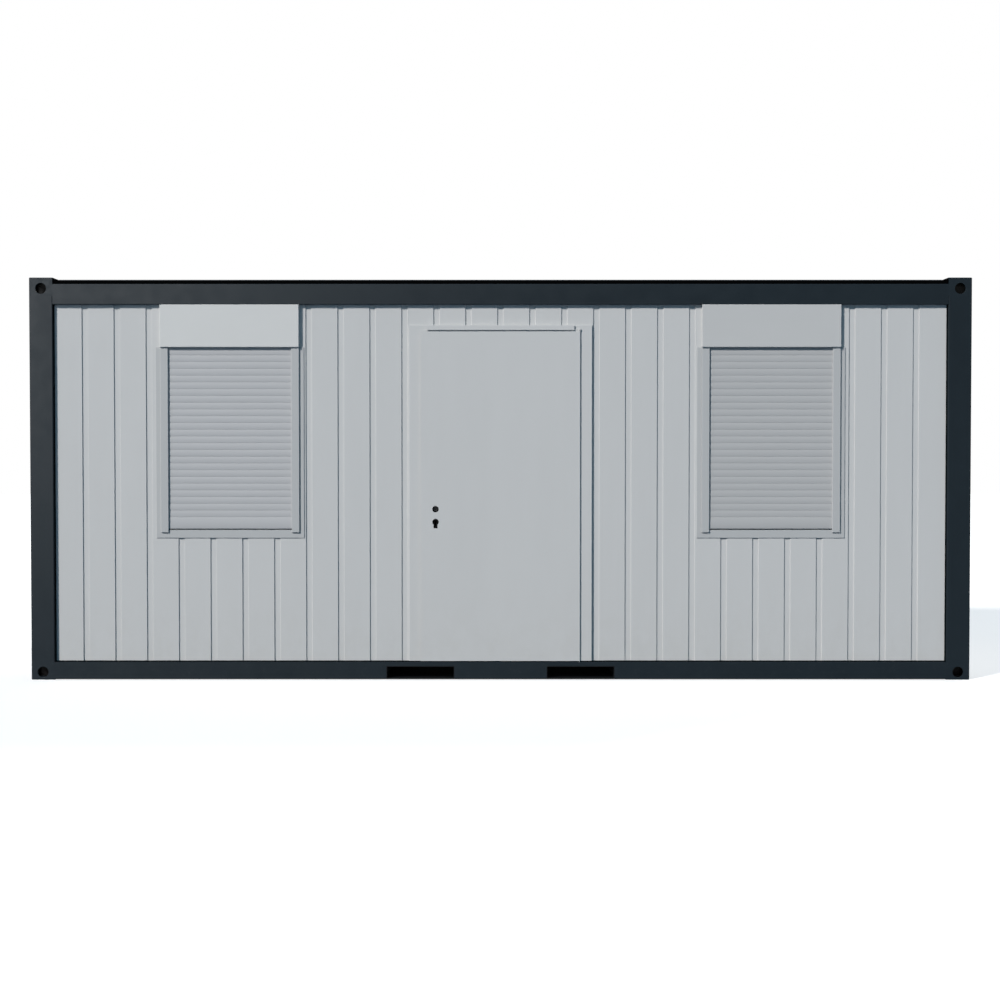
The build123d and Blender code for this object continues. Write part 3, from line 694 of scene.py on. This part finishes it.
# Windows, outside: a thin steel rim on the wall under a folded box for the rolled-up shutter, two
# guides, and a closed curtain of bowed aluminium slats hooked one over the next on a thin web,
# with a plain bar at the bottom. All of it is coated in greys close to the wall's. The left
# window's box and slats get lighter greys than the right's, as painted light and shade.
WINDOWS = {"window_left": -1.744, "window_right": 1.744}
BOX_RADIUS = 0.0024
GUIDE_FACE = 0.011
GUIDE_RADIUS = 0.0025
RIM_FACE = 0.021
RIM_RADIUS = 0.0012
CURTAIN_HALF = 0.406
CURTAIN_DEPTH = (0.022, 0.032)
CURTAIN_BOTTOM = 0.975
FIRST_SLAT = 1.051
SLAT_PITCH = 0.0435
SLAT_GAP = 0.0008
SLAT_BOW = 0.0015
SLATS = 25
BAR_RADIUS = 0.003
CURTAIN_TOP = 2.161
WEB = (0.003, 0.001)
WEB_SHORT = 0.005
# Painted light and shade: the left window's box and slats are given lighter greys than the
# right's, for how the light from the left falls on them.
BOX_GREYS_LIT_AND_SHADED = {"window_left": (199, 200, 199), "window_right": (184, 185, 185)}
SLAT_GREYS_LIT_AND_SHADED = {"window_left": (175, 176, 178), "window_right": (171, 172, 173)}
TRIM_GREY = (173, 175, 176)


def grey_coat(name, red, green, blue):
    """A satin coat a little mottled about one grey."""
    coat = Finish(name, tone(red, green, blue), 0.5, specular=0.12)
    coat.tint(coat.spread(0.25, 4, (1.5, 1, 0.6)), tone(red - 3, green - 3, blue - 3))
    coat.roughen(coat.spread(0.1, 4), 0.44, 0.56)
    coat.raise_by(coat.spread(0.003, 2), 0.00003)
    return coat


def add_slat(shape, x, low, high):
    """Add one slat whose face bows out between its hooked edges."""
    face = FRONT + CURTAIN_DEPTH[0]
    bar = add_bar(
        shape, (x - CURTAIN_HALF, face, low), (x + CURTAIN_HALF, FRONT + CURTAIN_DEPTH[1], high)
    )
    upright = [
        edge for edge in set(edge for vert in bar for edge in vert.link_edges)
        if abs(edge.verts[0].co.z - edge.verts[1].co.z) > 0.001
    ]
    bmesh.ops.subdivide_edges(shape, edges=upright, cuts=7, use_grid_fill=True)
    for vert in shape.verts:
        across = (2 * vert.co.z - low - high) / (high - low)
        if vert.co.y < face + HAIR and abs(across) < 1.0001:
            vert.co.y += SLAT_BOW * across * across


def hooked_curtain(name, x):
    """The closed curtain of one window, from the bottom bar up into the box."""
    curtain = bmesh.new()
    bar = add_bar(
        curtain, (x - CURTAIN_HALF, FRONT + CURTAIN_DEPTH[0], CURTAIN_BOTTOM),
        (x + CURTAIN_HALF, FRONT + CURTAIN_DEPTH[1], FIRST_SLAT - SLAT_GAP),
    )
    front_limit = FRONT + CURTAIN_DEPTH[0] + 2 * HAIR
    round_edges(
        curtain, BAR_RADIUS, 3,
        lambda edge: edge.calc_length() > 0.5
        and all(vert in bar and vert.co.y < front_limit for vert in edge.verts),
    )
    for number in range(SLATS):
        low = FIRST_SLAT + number * SLAT_PITCH
        add_slat(curtain, x, low, low + SLAT_PITCH - SLAT_GAP)
    low = FIRST_SLAT + SLATS * SLAT_PITCH
    add_bar(
        curtain, (x - CURTAIN_HALF, FRONT + CURTAIN_DEPTH[0] + SLAT_BOW, low),
        (x + CURTAIN_HALF, FRONT + CURTAIN_DEPTH[1], CURTAIN_TOP),
    )
    back = FRONT + CURTAIN_DEPTH[1]
    add_bar(
        curtain, (x - CURTAIN_HALF, back - WEB[0], CURTAIN_BOTTOM + WEB_SHORT),
        (x + CURTAIN_HALF, back - WEB[1], CURTAIN_TOP - WEB_SHORT),
    )
    coat = grey_coat(name + "_slat_coat", *SLAT_GREYS_LIT_AND_SHADED[name])
    node = name + "_shutter_curtain"
    put_in_place(curtain, node + "_slats", coat, stands_for=[node], smooth=35)


def ease_node(node, finish, radius, segments, chosen):
    """Round a node's chosen edges and dress the copy in a finish."""
    shape = merged_copy(node)
    round_edges(shape, radius, segments, chosen)
    put_in_place(shape, node + "_eased", finish, stands_for=[node])


for name, x in WINDOWS.items():
    box_coat = grey_coat(name + "_box_coat", *BOX_GREYS_LIT_AND_SHADED[name])
    trim_coat = grey_coat(name + "_trim_coat", *TRIM_GREY)
    ease_node(name + "_shutter_box", box_coat, BOX_RADIUS, 3,
              lambda edge: len(outer_planes(edge)) > 0)
    ease_node(name + "_shutter_guides", trim_coat, GUIDE_RADIUS, 3,
              lambda edge: edge.calc_length() > 1
              and all(vert.co.y < FRONT + GUIDE_FACE + HAIR for vert in edge.verts))
    ease_node(name + "_surround", trim_coat, RIM_RADIUS, 2,
              lambda edge: all(vert.co.y < FRONT + RIM_FACE + HAIR for vert in edge.verts))
    hooked_curtain(name, x)


# Windows, inside: a white plastic frame and a tilting sash with a lever handle, and between
# black gaskets a sealed pair of panes held apart by a metal spacer.
SASH_HALF = 0.387
SASH_Z = (1.005, 2.085)
SASH_BORDER = 0.06
SASH_BACK = 0.114
PANES = ((0.079, 0.083), (0.099, 0.103))
GLASS_HALF = 0.337
GLASS_Z = (1.055, 2.035)
SPACER = 0.016
GASKET = 0.004
HANDLE_PLATE = (0.028, 0.012, 0.13)
LEVER = (0.02, 0.012, 0.12)
LEVER_RADIUS = 0.004
NECK = 0.028
NECK_RADIUS = 0.008
PLASTIC_RADIUS = 0.003
PLASTIC_WHITE = tone(236, 236, 232)
PLASTIC_AGED = tone(230, 230, 225)
GLASS_TINT = tone(240, 246, 244)
SPACER_GREY = tone(172, 174, 175)
SPACER_DULL = tone(150, 152, 153)

window_white = Finish("window_plastic", PLASTIC_WHITE, 0.3, specular=0.45)
window_white.tint(window_white.spread(0.2, 4), PLASTIC_AGED)
window_white.raise_by(window_white.spread(0.004, 2), 0.00002)

pane = Finish("window_pane", GLASS_TINT, 0.02, specular=0.5)
pane.shader.inputs["Transmission Weight"].default_value = 1
pane.shader.inputs["IOR"].default_value = 1.45
pane.roughen(pane.spread(0.3, 4), 0.01, 0.03)

spacer_metal = Finish("spacer_metal", SPACER_GREY, 0.35, metal=0.8)
spacer_metal.tint(spacer_metal.spread(0.01, 3), SPACER_DULL)


def add_ring(shape, x, half, z, border, depth):
    """Add a flat four-sided ring of bars about a window's middle."""
    for low, high in (
        ((x - half, z[0]), (x - half + border, z[1])),
        ((x + half - border, z[0]), (x + half, z[1])),
        ((x - half + border, z[0]), (x + half - border, z[0] + border)),
        ((x - half + border, z[1] - border), (x + half - border, z[1])),
    ):
        add_bar(
            shape, (low[0], FRONT + depth[0], low[1]), (high[0], FRONT + depth[1], high[1])
        )


for name, x in WINDOWS.items():
    for part in ("_frame", "_sash"):
        ease_node(name + part, window_white, PLASTIC_RADIUS, 3,
                  lambda edge: edge.calc_length() > 0.5 and edge.is_convex)

    panes = bmesh.new()
    for depth in PANES:
        add_bar(
            panes, (x - GLASS_HALF, FRONT + depth[0], GLASS_Z[0]),
            (x + GLASS_HALF, FRONT + depth[1], GLASS_Z[1]),
        )
    put_in_place(panes, name + "_panes", pane, stands_for=[name + "_glass"])

    spacer = bmesh.new()
    add_ring(spacer, x, GLASS_HALF, GLASS_Z, SPACER, (PANES[0][1], PANES[1][0]))
    put_in_place(spacer, name + "_spacer", spacer_metal)

    gaskets = bmesh.new()
    half = SASH_HALF - SASH_BORDER
    z = (SASH_Z[0] + SASH_BORDER, SASH_Z[1] - SASH_BORDER)
    for depth in ((PANES[0][0] - GASKET, PANES[0][0]), (PANES[1][1], PANES[1][1] + GASKET)):
        add_ring(gaskets, x, half, z, GASKET, depth)
    put_in_place(gaskets, name + "_gaskets", seal_rubber)

    handle = bmesh.new()
    stile = x - SASH_HALF + SASH_BORDER / 2
    back = FRONT + SASH_BACK
    middle = sum(SASH_Z) / 2
    add_bar(
        handle, (stile - HANDLE_PLATE[0] / 2, back, middle - HANDLE_PLATE[2] / 2),
        (stile + HANDLE_PLATE[0] / 2, back + HANDLE_PLATE[1], middle + HANDLE_PLATE[2] / 2),
    )
    out = back + HANDLE_PLATE[1] + NECK
    add_bar(
        handle, (stile - LEVER[0] / 2, out, middle - LEVER[2]),
        (stile + LEVER[0] / 2, out + LEVER[1], middle + LEVER[0] / 2),
    )
    round_edges(handle, LEVER_RADIUS, 3, lambda edge: True)
    bmesh.ops.create_cone(
        handle, cap_ends=True, segments=24, radius1=NECK_RADIUS, radius2=NECK_RADIUS,
        depth=NECK + LEVER_RADIUS,
        matrix=Matrix.Translation((stile, (back + HANDLE_PLATE[1] + out) / 2, middle))
        @ Matrix.Rotation(math.pi / 2, 4, "X"),
    )
    put_in_place(handle, name + "_handle", window_white, smooth=50)


# Studio: a pale floor and a white world round the cabin, a large soft lamp from the upper left,
# a weaker one from behind, a bright card that only the gloss of the paint picks up, and the
# camera square on to the front.
FLOOR_SIZE = 60
FLOOR_MATT = (0.09, 0.12, 0.155, 1)
FLOOR_PALE = (0.6, 0.6, 0.6, 1)
FLOOR_GLOW = 0.45
SKY_COLOUR = (0.28, 0.74, 1.1, 1)
SKY_STRENGTH = 0.24
WHITE = (1, 1, 1, 1)

floor_mesh = bmesh.new()
bmesh.ops.create_grid(floor_mesh, x_segments=2, y_segments=2, size=FLOOR_SIZE)
studio_floor = bpy.data.objects.new("studio_floor", bpy.data.meshes.new("studio_floor"))
floor_mesh.to_mesh(studio_floor.data)
floor_mesh.free()
bpy.context.collection.objects.link(studio_floor)


def seen_as_background(nodes, links):
    """One for rays from the camera, and for those that metal or glass send on."""
    path = nodes.new("ShaderNodeLightPath")
    total = path.outputs["Is Camera Ray"]
    for kind in ("Is Glossy Ray", "Is Transmission Ray"):
        either = nodes.new("ShaderNodeMath")
        either.operation = "MAXIMUM"
        links.new(total, either.inputs[0])
        links.new(path.outputs[kind], either.inputs[1])
        total = either.outputs[0]
    return total


floor_coat = bpy.data.materials.new("studio_floor")
floor_coat.use_nodes = True
nodes = floor_coat.node_tree.nodes
links = floor_coat.node_tree.links
nodes.clear()
matt = nodes.new("ShaderNodeBsdfDiffuse")
matt.inputs["Color"].default_value = FLOOR_MATT
pale = nodes.new("ShaderNodeBsdfDiffuse")
pale.inputs["Color"].default_value = FLOOR_PALE
glow = nodes.new("ShaderNodeEmission")
glow.inputs["Strength"].default_value = FLOOR_GLOW
lit = nodes.new("ShaderNodeAddShader")
links.new(pale.outputs[0], lit.inputs[0])
links.new(glow.outputs[0], lit.inputs[1])
choice = nodes.new("ShaderNodeMixShader")
links.new(seen_as_background(nodes, links), choice.inputs[0])
links.new(matt.outputs[0], choice.inputs[1])
links.new(lit.outputs[0], choice.inputs[2])
surface = nodes.new("ShaderNodeOutputMaterial")
links.new(choice.outputs[0], surface.inputs["Surface"])
studio_floor.data.materials.append(floor_coat)

world = bpy.data.worlds.new("studio")
bpy.context.scene.world = world
world.use_nodes = True
nodes = world.node_tree.nodes
links = world.node_tree.links
nodes.clear()
fill = nodes.new("ShaderNodeBackground")
fill.inputs["Color"].default_value = SKY_COLOUR
fill.inputs["Strength"].default_value = SKY_STRENGTH
white = nodes.new("ShaderNodeBackground")
white.inputs["Color"].default_value = WHITE
white.inputs["Strength"].default_value = 1
choice = nodes.new("ShaderNodeMixShader")
links.new(seen_as_background(nodes, links), choice.inputs[0])
links.new(fill.outputs[0], choice.inputs[1])
links.new(white.outputs[0], choice.inputs[2])
surface = nodes.new("ShaderNodeOutputWorld")
links.new(choice.outputs[0], surface.inputs["Surface"])


KEY_FROM = Vector((-1.0, -1.0, 0.95))
KEY_COLOUR = (1.0, 0.955, 0.92)
KEY_STRENGTH = 4.3
KEY_SPREAD = 8
BACK_FROM = Vector((0.9, 1.0, 0.9))
BACK_COLOUR = (1.0, 0.965, 0.935)
BACK_STRENGTH = 2.7
BACK_SPREAD = 12
SUN_DISTANCE = 8


def soft_sun(name, direction, energy, spread, colour):
    """A far lamp whose shadows blur over a few degrees."""
    light = bpy.data.lights.new(name, "SUN")
    light.energy = energy
    light.angle = math.radians(spread)
    light.color = colour
    lamp = bpy.data.objects.new(name, light)
    lamp.location = direction * SUN_DISTANCE
    lamp.rotation_euler = direction.to_track_quat("Z", "Y").to_euler()
    bpy.context.collection.objects.link(lamp)


soft_sun("key", KEY_FROM, KEY_STRENGTH, KEY_SPREAD, KEY_COLOUR)
soft_sun("back", BACK_FROM, BACK_STRENGTH, BACK_SPREAD, BACK_COLOUR)

CARD_PLACE = Vector((-7.6, -11.5, 5.5))
CARD_AIM = Vector((-1.5, -1.2, 1.3))
CARD_SIZE = (9, 8)
CARD_WATTS = 1700

card = bpy.data.lights.new("card", "AREA")
card.shape = "RECTANGLE"
card.size, card.size_y = CARD_SIZE
card.energy = CARD_WATTS
card_lamp = bpy.data.objects.new("card", card)
card_lamp.location = CARD_PLACE
card_lamp.rotation_euler = (CARD_PLACE - CARD_AIM).to_track_quat("Z", "Y").to_euler()
card_lamp.visible_camera = False
card_lamp.visible_diffuse = False
card_lamp.visible_transmission = False
bpy.context.collection.objects.link(card_lamp)

CAMERA_PLACE = Vector((0.0, -11.219, 1.394))
CAMERA_TARGET = Vector((-0.003, -1.219, 1.1615))
LENS = 55.9

lens = bpy.data.cameras.new("camera")
lens.sensor_width = 36
lens.lens = LENS
lens.clip_end = 200
camera = bpy.data.objects.new("camera", lens)
camera.location = CAMERA_PLACE
camera.rotation_euler = (CAMERA_TARGET - CAMERA_PLACE).to_track_quat("-Z", "Y").to_euler()
bpy.context.collection.objects.link(camera)
bpy.context.scene.camera = camera

bpy.context.scene.view_settings.view_transform = "Standard"
